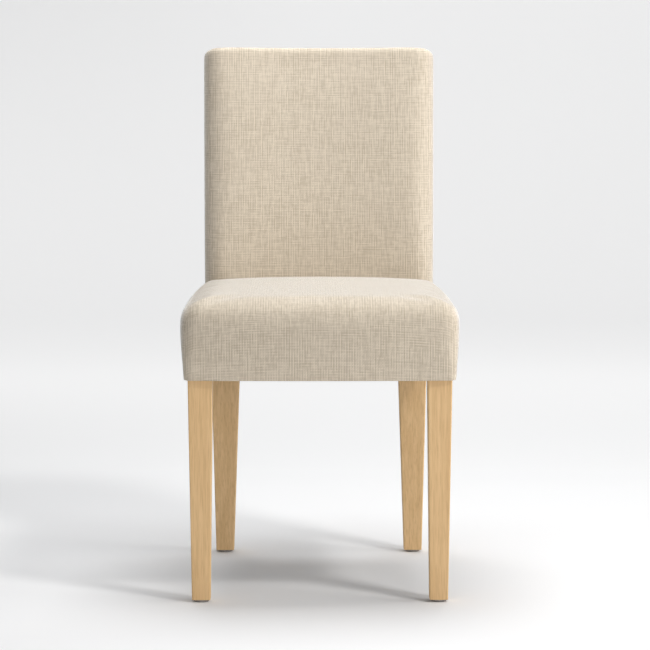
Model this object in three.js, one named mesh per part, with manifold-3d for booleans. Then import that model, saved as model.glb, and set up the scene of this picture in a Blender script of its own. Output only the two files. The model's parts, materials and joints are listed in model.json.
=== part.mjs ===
// An upholstered parsons dining chair, in millimetres, +Z up, with its front facing -Y.
// A beech frame is joined with mortises and tenons, webbed, padded and covered, and its oak legs show below.
import * as THREE from "three";
import { mergeVertices } from "three/addons/utils/BufferGeometryUtils.js";
import Module from "manifold-3d";

const wasm = await Module();
wasm.setup();

// Overall sizes
const CHAIR_HEIGHT = 945;
const SEAT_HEIGHT = 526;
const SEAT_WIDTH = 472; // at its widest, near the front corners
const SEAT_NARROWING = 44; // how much narrower the seat is where it meets the back
const SEAT_DEPTH = 437; // front of the seat to the side edges of the back's face
const SEAT_THICKNESS = 144; // from the underside of the upholstered seat to its crown

// Fits
const GLUE_LINE = 0.3; // joint clearance round a tenon, a screw and a shoulder
const LAY = 0.3; // gap between one layer and the next
const OVERRUN = 20; // how far a cutter runs past what it cuts

// Front legs
const FRONT_LEG_TOP = 42;
const FRONT_LEG_FOOT = 31.4;
const FRONT_LEG_COVER = 12; // side of the seat beyond the leg's outer face, where the seat is widest
const FRONT_LEG_TUCK = 5.6; // how far the outer face comes in at the foot
const FRONT_LEG_SETBACK = 15.5; // front face behind the front of the seat

// Rear legs, which run on as the posts of the back
const REAR_LEG_COVER = 11; // side of the back beyond the leg's outer face
const REAR_LEG_WIDTH = 54.4;
const REAR_FOOT_WIDTH = 33.3;
const REAR_LEG_TUCK = 7.4;
const REAR_LEG_DEPTH = 45;
const REAR_FOOT_DEPTH = 32;
const REAR_LEG_RAKE = 37; // how far the foot's front face stands behind that of the leg at the seat
const POST_TOP_WIDTH = 40;
const POST_TOP_DEPTH = 30;
const POST_FLARE = 3; // how far the outer face goes out at the top
const ARRIS = 1.6; // chamfer on every long edge of a leg

// Lean of the back
const LEAN = THREE.MathUtils.degToRad(13);
const LEAN_RADIUS = 760;

// Seat frame
const RAIL_HEIGHT = 75;
const RAIL_THICKNESS = 22;
const RAIL_LIFT = 2; // underside of the rails above the apron
const RAIL_SETBACK = 2; // outer face of a rail inside the legs' faces
const TENON_LENGTH = 21;
const TENON_THICKNESS = 10;
const TENON_HEIGHT = 50;
const BLOCK_REACH = 56;
const BLOCK_HEIGHT = 42;
const SCREW_LENGTH = 38;
const SCREW_SHANK = 4.5;
const SCREW_HEAD = 9;
const SCREW_HEAD_HEIGHT = 3;
const SCREW_SINK = 4;
const SCREW_STAGGER = 9;
const DRIVE_SLOT = 1.2;

// Back frame
const CREST_HEIGHT = 70;
const LOWER_RAIL_HEIGHT = 50;
const BACK_RAIL_THICKNESS = 22;
const BACK_TENON_HEIGHT = 34;
const SCOOP = 8; // hollow across the front of the back's rails
const LOWER_RAIL_CLEAR = 16; // underside of the lower back rail above the seat rails

// Webbing and hessian
const STRAP_WIDTH = 50;
const STRAP_THICKNESS = 1.5;
const STRAP_AIR = 0.4; // air between two straps where they cross
const STRAP_MARGIN = 2; // how far a strap keeps its level past the edge of one it crosses
const SEAT_LONG_STRAP_COUNT = 3; // under the seat, from front to rear
const SEAT_CROSS_STRAP_COUNT = 4;
const BACK_UPRIGHT_COUNT = 3;
const BACK_CROSS_COUNT = 3;
const STRAP_END = 5; // end of a strap inside the edge of what it is tacked to
const HESSIAN = 1;

// Padding and cloth
const CLOTH = 1.2;
const SEAT_WADDING = 7;
const BACK_WADDING = 5;
const FOLD_UNDER = 14;
const DUST_CLOTH = 0.8;
const DUST_CLOTH_INSET = 9;

// Seat form
const SEAT_CORNER = 30; // radius in plan at the top of the sides
const SEAT_LOW_CORNER = 13; // radius in plan at the underside, drawn tight over the leg
const SEAT_PROUD = 2; // side of the seat beyond the side of the back, where they meet
const SEAT_BOW = 6; // how far the front bows out across its width
const SEAT_EDGE_RISE = 40;
const SEAT_EDGE_RUN = 38;
const SEAT_CROWN = 5;
const SEAT_DRAW_IN = 6; // how far the sides come in at the underside
const FRONT_DRAW_IN = 3; // how far the front comes in there
const SEAT_HEM = 3; // radius of the fold at the underside

// Back form
const BACK_FLARE = 4; // how far each side goes out at the top
const BACK_PAD = 26; // face of the back in front of the posts
const SEAM_FLANGE = 8; // side boxing turned in along the seam with the seat
const BACK_CORNER = 36; // how far a front corner curves in across the face
const BACK_CORNER_DEPTH = 30; // how far it curves back along the side
const BACK_REAR_CORNER = 6;
const BACK_HOLLOW = 12; // hollow across the face of the padding
const BACK_TOP_EDGE = 16;
const BACK_SWELL = 4; // how far the outside back bows out
const PANEL_MARGIN = 13; // side boxing that shows round the outside back panel
const PANEL_THICKNESS = 2;

// Glides
const GLIDE_DIAMETER = 27;
const GLIDE_HEIGHT = 4.5;
const GLIDE_EDGE = 1.2;
const GLIDE_NAIL = 3;
const GLIDE_NAIL_LENGTH = 18;

const oak = new THREE.MeshStandardMaterial({ color: 0xd7b27c, roughness: 0.5, metalness: 0 });
const beech = new THREE.MeshStandardMaterial({ color: 0xd9bf96, roughness: 0.65, metalness: 0 });
const steel = new THREE.MeshStandardMaterial({ color: 0xb9bcc0, roughness: 0.35, metalness: 1 });
const nylon = new THREE.MeshStandardMaterial({ color: 0x9b9a97, roughness: 0.5, metalness: 0 });
const jute = new THREE.MeshStandardMaterial({ color: 0xb79a6c, roughness: 0.95, metalness: 0 });
const hessian = new THREE.MeshStandardMaterial({ color: 0xb8a27a, roughness: 0.95, metalness: 0 });
const foam = new THREE.MeshStandardMaterial({ color: 0xe9dfb4, roughness: 0.9, metalness: 0 });
const wadding = new THREE.MeshStandardMaterial({ color: 0xf4f3ef, roughness: 0.95, metalness: 0 });
const linen = new THREE.MeshStandardMaterial({ color: 0xcfc0a6, roughness: 0.92, metalness: 0 });
const blackCloth = new THREE.MeshStandardMaterial({ color: 0x2b2a29, roughness: 0.9, metalness: 0 });

const chair = new THREE.Group();

// Solids

function toSolid(geometry) {
  const bare = geometry.index ? geometry.toNonIndexed() : geometry.clone();
  const places = new THREE.BufferGeometry().setAttribute("position", bare.getAttribute("position"));
  const merged = mergeVertices(places);
  return new wasm.Manifold(
    new wasm.Mesh({
      numProp: 3,
      vertProperties: merged.getAttribute("position").array,
      triVerts: new Uint32Array(merged.index.array),
    }),
  );
}

function toGeometry(solid) {
  const mesh = solid.getMesh();
  const geometry = new THREE.BufferGeometry();
  geometry.setAttribute("position", new THREE.BufferAttribute(mesh.vertProperties, mesh.numProp));
  geometry.setIndex(new THREE.BufferAttribute(mesh.triVerts, 1));
  const flat = geometry.toNonIndexed();
  flat.computeVertexNormals();
  return flat;
}

function addPiece(name, solid, material) {
  const mesh = new THREE.Mesh(toGeometry(solid), material);
  mesh.name = name;
  chair.add(mesh);
  return mesh;
}

// The solid through a run of rings with the same count of points. Each ring turns to the left about the
// direction of the run. A fan closes a convex end, and a strip an end that is long, thin and curved.
function loft(rings, end = "fan") {
  const count = rings[0].length;
  const last = rings.length - 1;
  const places = [];
  const face = (a, b, c) => places.push(...a.toArray(), ...b.toArray(), ...c.toArray());
  for (let level = 0; level < last; level += 1) {
    for (let i = 0; i < count; i += 1) {
      const j = (i + 1) % count;
      const [a, b] = [rings[level][i], rings[level][j]];
      const [c, d] = [rings[level + 1][j], rings[level + 1][i]];
      face(a, b, c);
      face(a, c, d);
    }
  }
  for (const [ring, turned] of [
    [rings[0], true],
    [rings[last], false],
  ]) {
    const triangles = end === "fan" ? fanOf(ring) : stripOf(ring);
    for (const [a, b, c] of triangles) {
      if (turned) face(a, c, b);
      else face(a, b, c);
    }
  }
  const geometry = new THREE.BufferGeometry();
  geometry.setAttribute("position", new THREE.Float32BufferAttribute(places, 3));
  return toSolid(geometry);
}

function fanOf(ring) {
  const middle = ring.reduce((sum, point) => sum.add(point), new THREE.Vector3());
  middle.divideScalar(ring.length);
  return ring.map((point, i) => [middle, point, ring[(i + 1) % ring.length]]);
}

function stripOf(ring) {
  const triangles = [];
  for (let low = 0, high = ring.length - 1; low + 1 < high; low += 1, high -= 1) {
    triangles.push([ring[low], ring[low + 1], ring[high]]);
    if (low + 1 < high - 1) triangles.push([ring[low + 1], ring[high - 1], ring[high]]);
  }
  return triangles;
}

function block(low, high) {
  const size = new THREE.Vector3().subVectors(high, low);
  const geometry = new THREE.BoxGeometry(size.x, size.y, size.z);
  geometry.translate(...new THREE.Vector3().addVectors(low, high).divideScalar(2).toArray());
  return toSolid(geometry);
}

const at = (x, y, z) => new THREE.Vector3(x, y, z);
const mix = THREE.MathUtils.lerp;
const share = (value, low, high) => THREE.MathUtils.clamp((value - low) / (high - low), 0, 1);

// Where the legs stand and the seat begins
const APRON_BOTTOM = SEAT_HEIGHT - SEAT_THICKNESS;
const SEAT_WIDTH_REAR = SEAT_WIDTH - SEAT_NARROWING;
const BACK_WIDTH = SEAT_WIDTH_REAR - SEAT_PROUD * 2;
const FRONT_LEG_SPREAD = SEAT_WIDTH - FRONT_LEG_COVER * 2;
const REAR_LEG_SPREAD = BACK_WIDTH - REAR_LEG_COVER * 2;
const REAR_LEG_FRONT = SEAT_DEPTH + BACK_PAD;
const REAR_FOOT_FRONT = REAR_LEG_FRONT + REAR_LEG_RAKE;

// The back's own measure: along is the way up the posts' front face, and depth is the way behind it.

const railBottom = APRON_BOTTOM + RAIL_LIFT;
const railTop = railBottom + RAIL_HEIGHT;
const leanStart = railTop - APRON_BOTTOM;
const leanEnd = leanStart + LEAN_RADIUS * LEAN;
const leanEndHeight = railTop + LEAN_RADIUS * Math.sin(LEAN);
const leanEndDepth = REAR_LEG_FRONT + LEAN_RADIUS * (1 - Math.cos(LEAN));
const topEdgeDepth = BACK_TOP_EDGE - BACK_PAD;
const backTop =
  leanEnd +
  BACK_TOP_EDGE +
  (CHAIR_HEIGHT - BACK_TOP_EDGE + topEdgeDepth * Math.sin(LEAN) - leanEndHeight) / Math.cos(LEAN);
const postTop = backTop - CLOTH - BACK_WADDING - LAY * 3 - BACK_TOP_EDGE;

function leanAt(along) {
  return THREE.MathUtils.clamp((along - leanStart) / LEAN_RADIUS, 0, LEAN);
}

function onBack(x, depth, along) {
  const lean = leanAt(along);
  const straight = Math.min(along, leanStart);
  const beyond = Math.max(along - leanEnd, 0);
  const height = APRON_BOTTOM + straight + LEAN_RADIUS * Math.sin(lean) + beyond * Math.cos(LEAN);
  const set = REAR_LEG_FRONT + LEAN_RADIUS * (1 - Math.cos(lean)) + beyond * Math.sin(LEAN);
  return at(x, set + depth * Math.cos(lean), height - depth * Math.sin(lean));
}

const CURVE_STEPS = 5;
function stationsOf(from, to) {
  const bends = Array.from({ length: CURVE_STEPS + 1 }, (_, i) => mix(leanStart, leanEnd, i / CURVE_STEPS));
  return [from, ...bends.filter((along) => along > from && along < to), to];
}

const postOuter = (along) => REAR_LEG_SPREAD / 2 + POST_FLARE * share(along, leanStart, postTop);
const postWidth = (along) => mix(REAR_LEG_WIDTH, POST_TOP_WIDTH, share(along, leanStart, leanEnd));
const postInner = (along) => postOuter(along) - postWidth(along);
const postDepth = (along) => mix(REAR_LEG_DEPTH, POST_TOP_DEPTH, share(along, leanStart, postTop));
const scoop = (x, half) => SCOOP * Math.max(1 - (x / half) ** 2, 0);

// Legs

function chamfered(low, high, place) {
  const corners = [
    [low.x + ARRIS, low.y],
    [high.x - ARRIS, low.y],
    [high.x, low.y + ARRIS],
    [high.x, high.y - ARRIS],
    [high.x - ARRIS, high.y],
    [low.x + ARRIS, high.y],
    [low.x, high.y - ARRIS],
    [low.x, low.y + ARRIS],
  ];
  return corners.map(([x, y]) => place(x, y));
}

function span(first, second) {
  return [Math.min(first, second), Math.max(first, second)];
}

function frontLeg(side) {
  const outerTop = FRONT_LEG_SPREAD / 2;
  const outerFoot = outerTop - FRONT_LEG_TUCK;
  const taper = (FRONT_LEG_TOP - FRONT_LEG_FOOT) / 2;
  const ring = (outer, width, front, z) => {
    const [low, high] = span(side * outer, side * (outer - width));
    return chamfered({ x: low, y: front }, { x: high, y: front + width }, (x, y) => at(x, y, z));
  };
  return loft([
    ring(outerFoot, FRONT_LEG_FOOT, FRONT_LEG_SETBACK + taper, GLIDE_HEIGHT),
    ring(outerTop, FRONT_LEG_TOP, FRONT_LEG_SETBACK, APRON_BOTTOM),
    ring(outerTop, FRONT_LEG_TOP, FRONT_LEG_SETBACK, railTop),
  ]);
}

function rearLeg(side) {
  const foot = () => {
    const outer = REAR_LEG_SPREAD / 2 - REAR_LEG_TUCK;
    const [low, high] = span(side * outer, side * (outer - REAR_FOOT_WIDTH));
    const rear = REAR_FOOT_FRONT + REAR_FOOT_DEPTH;
    return chamfered({ x: low, y: REAR_FOOT_FRONT }, { x: high, y: rear }, (x, y) => at(x, y, GLIDE_HEIGHT));
  };
  const post = (along) => {
    const [low, high] = span(side * postOuter(along), side * postInner(along));
    return chamfered({ x: low, y: 0 }, { x: high, y: postDepth(along) }, (x, y) => onBack(x, y, along));
  };
  return loft([foot(), ...stationsOf(0, postTop).map(post)]);
}

// Rails with a tenon at each end. The ends are given as centre points of the shoulders.

function board(from, to, thickness, height) {
  const length = new THREE.Vector3().subVectors(to, from).length();
  const geometry = new THREE.BoxGeometry(length, thickness, height);
  geometry.rotateZ(Math.atan2(to.y - from.y, to.x - from.x));
  geometry.translate(...new THREE.Vector3().addVectors(from, to).divideScalar(2).toArray());
  return toSolid(geometry);
}

function along(from, to, distance) {
  return new THREE.Vector3().subVectors(to, from).normalize().multiplyScalar(distance).add(from);
}

const tenonTip = TENON_LENGTH - GLUE_LINE;

function tenonedRail(from, to) {
  const start = along(from, to, -tenonTip);
  const finish = along(to, from, -tenonTip);
  return board(start, finish, TENON_THICKNESS, TENON_HEIGHT);
}

function mortises(from, to) {
  const start = along(from, to, -TENON_LENGTH);
  const finish = along(to, from, -TENON_LENGTH);
  return board(start, finish, TENON_THICKNESS + GLUE_LINE * 2, TENON_HEIGHT + GLUE_LINE * 2);
}

const railMiddle = (railBottom + railTop) / 2;
const frontLegInner = FRONT_LEG_SPREAD / 2 - FRONT_LEG_TOP;
const frontLegRear = FRONT_LEG_SETBACK + FRONT_LEG_TOP;
const rearLegInner = REAR_LEG_SPREAD / 2 - REAR_LEG_WIDTH;
const frontRailLine = FRONT_LEG_SETBACK + RAIL_SETBACK + RAIL_THICKNESS / 2;
const rearRailLine = REAR_LEG_FRONT + REAR_LEG_DEPTH - RAIL_SETBACK - RAIL_THICKNESS / 2;
const railInset = RAIL_SETBACK + RAIL_THICKNESS / 2;

const frontRailEnds = [
  at(-frontLegInner, frontRailLine, railMiddle),
  at(frontLegInner, frontRailLine, railMiddle),
];
const rearRailEnds = [
  at(-rearLegInner, rearRailLine, railMiddle),
  at(rearLegInner, rearRailLine, railMiddle),
];
const sideRailEnds = (side) => [
  at(side * (FRONT_LEG_SPREAD / 2 - railInset), frontLegRear, railMiddle),
  at(side * (REAR_LEG_SPREAD / 2 - railInset), REAR_LEG_FRONT, railMiddle),
];

// A rail's shoulders are cut to the faces of the legs, so its board overruns and is trimmed between them.
function rail(ends, trim) {
  const [from, to] = ends;
  const long = board(along(from, to, -OVERRUN), along(to, from, -OVERRUN), RAIL_THICKNESS, RAIL_HEIGHT);
  return long.intersect(trim).add(tenonedRail(from, to));
}

const acrossTrim = (inner) =>
  block(at(-inner + GLUE_LINE, -OVERRUN, 0), at(inner - GLUE_LINE, SEAT_DEPTH * 2, CHAIR_HEIGHT));
const sideTrim = block(
  at(-SEAT_WIDTH, frontLegRear + GLUE_LINE, 0),
  at(SEAT_WIDTH, REAR_LEG_FRONT - GLUE_LINE, CHAIR_HEIGHT),
);

// The distance from the middle to a side rail's inner face
function sideRailInner(y) {
  const reach = share(y, frontLegRear, REAR_LEG_FRONT);
  const middle = mix(FRONT_LEG_SPREAD, REAR_LEG_SPREAD, reach) / 2 - railInset;
  return middle - RAIL_THICKNESS / 2 - GLUE_LINE;
}

// Corner blocks: each fits round its leg and spans from a cross rail to a side rail.

const blockLow = railMiddle - BLOCK_HEIGHT / 2;

function cornerBlock(side, legInner, legFace, railFace, inward) {
  const legX = legInner - GLUE_LINE;
  const legY = legFace + inward * GLUE_LINE;
  const railY = railFace + inward * GLUE_LINE;
  const farY = legFace + inward * BLOCK_REACH;
  const outline = [
    [legX, railY],
    [legX - BLOCK_REACH, railY],
    [sideRailInner(farY), farY],
    [sideRailInner(legY), legY],
    [legX, legY],
  ];
  const shape = new THREE.Shape(outline.map(([x, y]) => new THREE.Vector2(side * x, y)));
  const geometry = new THREE.ExtrudeGeometry(shape, { depth: BLOCK_HEIGHT, bevelEnabled: false });
  geometry.translate(0, 0, blockLow);
  return toSolid(geometry);
}

// A countersunk screw of few sides, with its head's top at the origin and its point down +X
const SCREW_SIDES = 8;
function screwForm(grow) {
  const shank = SCREW_SHANK / 2 + grow;
  const head = SCREW_HEAD / 2 + grow;
  const tip = SCREW_LENGTH + grow;
  const profile = [
    new THREE.Vector2(0, -grow),
    new THREE.Vector2(head, -grow),
    new THREE.Vector2(shank, SCREW_HEAD_HEIGHT + grow),
    new THREE.Vector2(shank, tip - shank * 2),
    new THREE.Vector2(0, tip),
  ];
  const geometry = new THREE.LatheGeometry(profile, SCREW_SIDES);
  geometry.rotateZ(-Math.PI / 2);
  return toSolid(geometry);
}

function screwPocket() {
  const radius = SCREW_HEAD / 2 + GLUE_LINE;
  const geometry = new THREE.CylinderGeometry(radius, radius, SCREW_LENGTH, SCREW_SIDES);
  geometry.rotateZ(-Math.PI / 2);
  geometry.translate(-SCREW_LENGTH / 2, 0, 0);
  return toSolid(geometry).add(screwForm(GLUE_LINE));
}

function screwSlot() {
  const half = SCREW_HEAD / 2 - DRIVE_SLOT;
  const wide = DRIVE_SLOT / 2;
  const across = block(at(-DRIVE_SLOT, -half, -wide), at(DRIVE_SLOT, half, wide));
  const upright = block(at(-DRIVE_SLOT, -wide, -half), at(DRIVE_SLOT, wide, half));
  return across.add(upright);
}

function aimed(solid, place, direction) {
  const turn = new THREE.Quaternion().setFromUnitVectors(at(1, 0, 0), direction);
  const matrix = new THREE.Matrix4().compose(place, turn, at(1, 1, 1));
  return toSolid(toGeometry(solid).applyMatrix4(matrix));
}

// Crest rail and lower back rail, scooped at the front, between the posts

function backRail(low, high) {
  const SCOOP_STEPS = 8;
  const ring = (level) => {
    const half = postInner(level) - GLUE_LINE;
    const front = [];
    const rear = [];
    for (let i = 0; i <= SCOOP_STEPS; i += 1) {
      const x = mix(-half, half, i / SCOOP_STEPS);
      front.push(onBack(x, scoop(x, half), level));
      rear.unshift(onBack(x, BACK_RAIL_THICKNESS, level));
    }
    return [...front, ...rear];
  };
  const middle = (low + high) / 2;
  return loft(stationsOf(low, high).map(ring), "strip").add(backTenons(middle, tenonTip, 0));
}

function backTenons(middle, length, grow) {
  const half = BACK_TENON_HEIGHT / 2 + grow;
  const depthMiddle = (BACK_RAIL_THICKNESS + SCOOP) / 2;
  const depthLow = depthMiddle - TENON_THICKNESS / 2 - grow;
  const depthHigh = depthMiddle + TENON_THICKNESS / 2 + grow;
  const ring = (level) => {
    const reach = postInner(middle) + length;
    return [
      onBack(-reach, depthLow, level),
      onBack(reach, depthLow, level),
      onBack(reach, depthHigh, level),
      onBack(-reach, depthHigh, level),
    ];
  };
  return loft(stationsOf(middle - half, middle + half).map(ring));
}

const lowerRailLow = leanStart + LOWER_RAIL_CLEAR;
const lowerRailHigh = lowerRailLow + LOWER_RAIL_HEIGHT;
const crestHigh = postTop;
const crestLow = crestHigh - CREST_HEIGHT;
const backRailSpans = [
  [lowerRailLow, lowerRailHigh],
  [crestLow, crestHigh],
];

// Webbing: each strap rises over every second strap that it crosses.

const strapLift = (STRAP_THICKNESS + STRAP_AIR) / 2;
const strapRest = LAY + STRAP_THICKNESS / 2;
const strapReach = STRAP_WIDTH / 2 + STRAP_MARGIN;

// Middles of straps that share the room between two edges with equal gaps
function evenly(count, low, high) {
  const gap = (high - low - count * STRAP_WIDTH) / (count + 1);
  return Array.from({ length: count }, (_, i) => low + (i + 1) * gap + (i + 1 / 2) * STRAP_WIDTH);
}

// The stations along a strap with its lift at each. It lies flat as far as onto and from off, the edges of
// what carries its two ends, and crosses other straps at the given places.
function weave([start, onto], crossings, [off, finish], over) {
  const stations = [
    [start, 0],
    [onto, 0],
  ];
  crossings.forEach((place, i) => {
    const lift = (i + over) % 2 === 0 ? strapLift : -strapLift;
    stations.push([place - strapReach, lift], [place, lift], [place + strapReach, lift]);
  });
  stations.push([off, 0], [finish, 0]);
  return stations;
}

const seatLongPlaces = evenly(SEAT_LONG_STRAP_COUNT, -rearLegInner, rearLegInner);
const seatCrossPlaces = evenly(SEAT_CROSS_STRAP_COUNT, frontRailLine + RAIL_THICKNESS / 2, REAR_LEG_FRONT);
const strapLevel = railTop + strapRest;
const halfStrap = STRAP_WIDTH / 2;
const halfThick = STRAP_THICKNESS / 2;

function seatLongStrap(x, over) {
  const half = RAIL_THICKNESS / 2;
  const front = [frontRailLine - half + STRAP_END, frontRailLine + half];
  const rear = [rearRailLine - half, rearRailLine + half - STRAP_END];
  const ring = ([y, lift]) => [
    at(x - halfStrap, y, strapLevel + lift - halfThick),
    at(x - halfStrap, y, strapLevel + lift + halfThick),
    at(x + halfStrap, y, strapLevel + lift + halfThick),
    at(x + halfStrap, y, strapLevel + lift - halfThick),
  ];
  return loft(weave(front, seatCrossPlaces, rear, over).map(ring));
}

function seatCrossStrap(y, over) {
  const edge = sideRailInner(y);
  const reach = edge + RAIL_THICKNESS - STRAP_END;
  const ring = ([x, lift]) => [
    at(x, y - halfStrap, strapLevel + lift - halfThick),
    at(x, y + halfStrap, strapLevel + lift - halfThick),
    at(x, y + halfStrap, strapLevel + lift + halfThick),
    at(x, y - halfStrap, strapLevel + lift + halfThick),
  ];
  return loft(weave([-reach, -edge], seatLongPlaces, [edge, reach], over).map(ring));
}

const backUprightPlaces = evenly(BACK_UPRIGHT_COUNT, -postInner(lowerRailLow), postInner(lowerRailLow));
const backCrossPlaces = evenly(BACK_CROSS_COUNT, lowerRailHigh, crestLow);
const webbingDepth = (x, level) => scoop(x, postInner(level)) - strapRest;

function backUpright(x, over) {
  const lower = [lowerRailLow + STRAP_END, lowerRailHigh];
  const upper = [crestLow, crestHigh - STRAP_END];
  const edges = [x - halfStrap, x, x + halfStrap];
  const bent = stationsOf(lower[0], upper[1]);
  const woven = weave(lower, backCrossPlaces, upper, over);
  const liftAt = (level) => {
    const next = woven.findIndex(([place]) => place >= level);
    if (next < 1) return 0;
    const [fromPlace, fromLift] = woven[next - 1];
    const [toPlace, toLift] = woven[next];
    return mix(fromLift, toLift, share(level, fromPlace, toPlace));
  };
  const levels = [...new Set([...bent, ...woven.map(([place]) => place)])].sort((a, b) => a - b);
  const ring = (level) => {
    const lift = liftAt(level);
    const front = edges.map((edge) => onBack(edge, webbingDepth(edge, level) - lift - halfThick, level));
    const rear = edges.map((edge) => onBack(edge, webbingDepth(edge, level) - lift + halfThick, level));
    return [...front, ...rear.reverse()];
  };
  return loft(levels.map(ring), "strip");
}

function backCross(level, over) {
  const reach = postOuter(level) - STRAP_END;
  const inner = postInner(level);
  const across = [level - halfStrap, level, level + halfStrap];
  const ring = ([x, lift]) => {
    const rear = across.map((edge) => onBack(x, webbingDepth(x, edge) - lift + halfThick, edge));
    const front = across.map((edge) => onBack(x, webbingDepth(x, edge) - lift - halfThick, edge));
    return [...front.reverse(), ...rear];
  };
  return loft(weave([-reach, -inner], backUprightPlaces, [inner, reach], over).map(ring), "strip");
}

// Hessian over the webbing

const deckLow = strapLevel + strapLift + halfThick + LAY;
const deckHigh = deckLow + HESSIAN;

function deckCloth() {
  const front = frontRailLine - RAIL_THICKNESS / 2 + STRAP_END;
  const rear = rearRailLine + RAIL_THICKNESS / 2 - STRAP_END;
  const notchY = REAR_LEG_FRONT - LAY;
  const notchX = rearLegInner - LAY;
  const reachAt = (y) => sideRailInner(y) + RAIL_THICKNESS - STRAP_END;
  const right = [
    [reachAt(front), front],
    [reachAt(notchY), notchY],
    [notchX, notchY],
    [notchX, rear],
  ];
  const left = right.map(([x, y]) => [-x, y]).reverse();
  const shape = new THREE.Shape([...right, ...left].map(([x, y]) => new THREE.Vector2(x, y)));
  const geometry = new THREE.ExtrudeGeometry(shape, { depth: HESSIAN, bevelEnabled: false });
  geometry.translate(0, 0, deckLow);
  return toSolid(geometry);
}

const liningRear = strapLift + halfThick + LAY;
const LINING_STEPS = 8;

function backLining() {
  const ring = (level) => {
    const half = postOuter(level) - STRAP_END;
    const xs = Array.from({ length: LINING_STEPS + 1 }, (_, i) => mix(-half, half, i / LINING_STEPS));
    const front = xs.map((x) => onBack(x, webbingDepth(x, level) - liningRear - HESSIAN, level));
    const rear = xs.map((x) => onBack(x, webbingDepth(x, level) - liningRear, level));
    return [...front, ...rear.reverse()];
  };
  return loft(stationsOf(lowerRailLow, crestHigh).map(ring), "strip");
}

// Seat form: rings from the underside up the sides, over the rounded edge and in over the crown.

const BOW_STEPS = 8;
const CORNER_STEPS = 5;
const EDGE_STEPS = 4;
const seatRearEdge = REAR_LEG_FRONT;
const seatSideTilt = Math.atan((SEAT_WIDTH - SEAT_WIDTH_REAR) / 2 / (seatRearEdge - SEAT_CORNER));

const seatEdgeStart = SEAT_HEIGHT - SEAT_CROWN - SEAT_EDGE_RISE;
const sideLevelShares = [0.35, 0.7, 1];
const crownShares = [0.75, 0.45, 0.15];
const DRAW_POWER = 1.4;

// The outline of the seat in plan, with its faces moved in by inset, at a height
function seatOutline(inset, z) {
  const reach = share(z, APRON_BOTTOM, seatEdgeStart);
  const draw = (1 - reach) ** DRAW_POWER;
  const hem = SEAT_HEM * (1 - share(z, APRON_BOTTOM, APRON_BOTTOM + SEAT_HEM));
  const sideInset = inset + hem + SEAT_DRAW_IN * draw;
  const frontInset = inset + hem + FRONT_DRAW_IN * draw;
  const corner = Math.max(mix(SEAT_LOW_CORNER, SEAT_CORNER, reach) - inset, SEAT_HEM);
  const sideShare = (y) => (y - SEAT_CORNER) / (seatRearEdge - SEAT_CORNER);
  const sideAt = (y) => mix(SEAT_WIDTH, SEAT_WIDTH_REAR, sideShare(y)) / 2 - sideInset;
  const bowEnd = SEAT_WIDTH / 2 - SEAT_CORNER;
  const bowAt = (x) => SEAT_BOW * (x / bowEnd) ** 2 + frontInset;
  const bowTilt = Math.atan((SEAT_BOW * 2) / bowEnd);
  const centreY = bowAt(bowEnd) + corner / Math.cos(bowTilt);
  const centreX = sideAt(centreY) - corner / Math.cos(seatSideTilt);
  const startX = centreX + corner * Math.sin(bowTilt);
  const right = [];
  for (let i = 1; i < BOW_STEPS / 2; i += 1) {
    const x = (startX * i) / (BOW_STEPS / 2);
    right.push([x, bowAt(x)]);
  }
  for (let i = 0; i <= CORNER_STEPS; i += 1) {
    const angle = mix(bowTilt - Math.PI / 2, seatSideTilt, i / CORNER_STEPS);
    right.push([centreX + corner * Math.cos(angle), centreY + corner * Math.sin(angle)]);
  }
  right.push([sideAt(seatRearEdge), seatRearEdge]);
  const left = right.map(([x, y]) => [-x, y]).reverse();
  return [[0, bowAt(0)], ...right, ...left];
}

function seatForm(inset, bottom) {
  const hemTop = APRON_BOTTOM + SEAT_HEM;
  const levels = [hemTop, ...sideLevelShares.map((height) => mix(hemTop, seatEdgeStart, height))];
  const ring = (extra, outlineLevel, z) => seatOutline(inset + extra, outlineLevel).map(([x, y]) => at(x, y, z));
  const rings = [bottom, ...levels.filter((z) => z > bottom)].map((z) => ring(0, z, z));
  const rise = SEAT_EDGE_RISE - inset;
  const run = SEAT_EDGE_RUN - inset;
  for (let i = 1; i <= EDGE_STEPS; i += 1) {
    const angle = (Math.PI / 2) * (i / EDGE_STEPS);
    rings.push(ring(run * (1 - Math.cos(angle)), seatEdgeStart, seatEdgeStart + rise * Math.sin(angle)));
  }
  const shoulder = rings[rings.length - 1];
  const middle = seatRearEdge / 2;
  for (const reach of crownShares) {
    const z = seatEdgeStart + rise + SEAT_CROWN * (1 - reach ** 2);
    rings.push(shoulder.map((point) => at(point.x * reach, mix(middle, point.y, reach), z)));
  }
  return loft(rings);
}

// Back form: rings square to the lean, scooped at the front and bowed at the rear.

const BACK_STEPS = 8;
const BACK_CORNER_STEPS = 5;
const REAR_CORNER_STEPS = 2;
const backHalf = (level) => BACK_WIDTH / 2 + BACK_FLARE * share(level, leanStart, backTop);
const backRear = (level) => postDepth(level) + LAY + PANEL_THICKNESS;

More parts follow.
